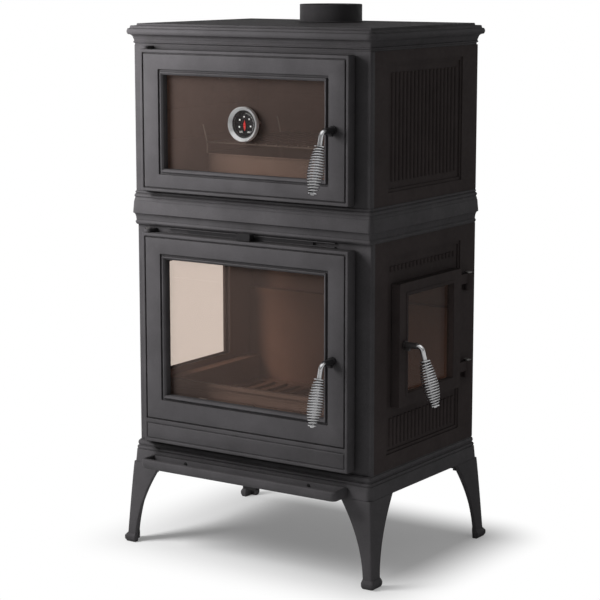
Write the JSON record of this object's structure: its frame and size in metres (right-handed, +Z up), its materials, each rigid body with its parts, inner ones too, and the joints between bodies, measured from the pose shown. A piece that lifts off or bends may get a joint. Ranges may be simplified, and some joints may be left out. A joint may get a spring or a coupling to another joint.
{
  "type": "cast iron range cooker",
  "caption": "Cast iron cooking stove on cabriole legs: firebox with glazed front and side doors, oven above with a dial thermometer, flue collar on top.",
  "frame": {"origin": "on the floor, midway between the outermost reaches of the feet and handles", "axes": "+Z up, the front doors face -Y, the side door faces +X"},
  "size_m": [0.6786, 0.5346, 1.105],
  "materials": {
    "cast_iron": "matt black cast iron with a fine sand-cast grain",
    "cast_iron_side": "matt black cast iron, the side and back plates",
    "cast_iron_inner": "heat-darkened cast iron",
    "chrome": "bright chrome",
    "rack_chrome": "chromed wire",
    "steel": "plain steel fixings",
    "oven_steel": "heat-browned sheet steel",
    "tray_steel": "sheet steel",
    "glass": "clear heat-proof glass",
    "lens": "clear lens",
    "rope": "woven heat-proof rope seal",
    "black_steel": "satin black",
    "dial": "matt black dial",
    "needle_red": "red needle"
  },
  "bodies": {
    "root": {"base_plate": "cast_iron", "leg_front_left": "cast_iron", "leg_front_right": "cast_iron", "leg_rear_left": "cast_iron", "leg_rear_right": "cast_iron", "ash_shelf": "cast_iron", "fire_front": "cast_iron", "fire_side_right": "cast_iron_side", "fire_side_left": "cast_iron_side", "fire_back": "cast_iron_side", "waist_plate": "cast_iron", "oven_front": "cast_iron", "oven_side_right": "cast_iron_side", "oven_side_left": "cast_iron_side", "oven_back": "cast_iron_side", "top_plate": "cast_iron", "flue_collar": "cast_iron", "casing_bolts": "steel", "casing_screws": "steel", "hinge_pins": "steel", "oven_liner": "oven_steel", "oven_rack": "rack_chrome", "roasting_tray": "tray_steel", "smoke_baffle": "cast_iron_inner", "cheek_left": "cast_iron_inner", "cheek_right": "cast_iron_inner", "fireback": "cast_iron_inner", "grate": "cast_iron_inner", "log_retainer": "cast_iron_inner", "ash_pan": "tray_steel", "window_frame_left": "cast_iron_inner", "window_glass_left": "glass"},
    "oven_door": {"oven_door": "cast_iron", "oven_door_glass": "glass", "oven_glass_clips": "steel", "oven_door_seal": "rope", "thermometer_case": "chrome", "thermometer_dial": "dial", "thermometer_lens": "lens"},
    "thermometer_needle": {"thermometer_needle": "needle_red"},
    "oven_handle": {"oven_latch_shaft": "black_steel", "oven_handle_rod": "chrome", "oven_handle_spring": "chrome"},
    "fire_door": {"fire_door": "cast_iron", "fire_door_glass": "glass", "fire_glass_clips": "steel", "fire_door_seal": "rope"},
    "fire_handle": {"fire_latch_shaft": "black_steel", "fire_handle_rod": "chrome", "fire_handle_spring": "chrome"},
    "side_door": {"side_door": "cast_iron", "side_door_glass": "glass", "side_glass_clips": "steel", "side_door_seal": "rope"},
    "side_handle": {"side_latch_shaft": "black_steel", "side_handle_rod": "chrome", "side_handle_spring": "chrome"},
    "airwash_slide": {"airwash_slide": "black_steel"},
    "lower_air_slide": {"lower_air_slide": "black_steel"}
  },
  "joints": [
    {"name": "oven_door_hinge", "type": "hinge", "parent": "root", "child": "oven_door", "pos_m": [-0.27134, -0.17866, 0.88], "axis": [0, 0, -1], "range_deg": [0, 110]},
    {"name": "oven_handle_turn", "type": "hinge", "parent": "oven_door", "child": "oven_handle", "pos_m": [0.17766, -0.18866, 0.88], "axis": [0, -1, 0], "range_deg": [0, 90]},
    {"name": "thermometer_needle_turn", "type": "hinge", "parent": "oven_door", "child": "thermometer_needle", "pos_m": [-0.03434, -0.17566, 0.8809], "axis": [0, 1, 0], "range_deg": [-130, 130], "stiffness_Nm_per_rad": 0.0005},
    {"name": "fire_door_hinge", "type": "hinge", "parent": "root", "child": "fire_door", "pos_m": [-0.27134, -0.17866, 0.438], "axis": [0, 0, -1], "range_deg": [0, 110]},
    {"name": "fire_handle_turn", "type": "hinge", "parent": "fire_door", "child": "fire_handle", "pos_m": [0.17766, -0.18866, 0.44], "axis": [0, -1, 0], "range_deg": [0, 90]},
    {"name": "side_door_hinge", "type": "hinge", "parent": "root", "child": "side_door", "pos_m": [0.25706, 0.19834, 0.459], "axis": [0, 0, 1], "range_deg": [0, 110]},
    {"name": "side_handle_turn", "type": "hinge", "parent": "side_door", "child": "side_handle", "pos_m": [0.26066, -0.06266, 0.461], "axis": [1, 0, 0], "range_deg": [0, 90]},
    {"name": "airwash_slide_move", "type": "slide", "parent": "root", "child": "airwash_slide", "axis": [1, 0, 0], "range_m": [-0.035, 0.035]},
    {"name": "lower_air_slide_move", "type": "slide", "parent": "root", "child": "lower_air_slide", "axis": [1, 0, 0], "range_m": [-0.04, 0.04]}
  ]
}
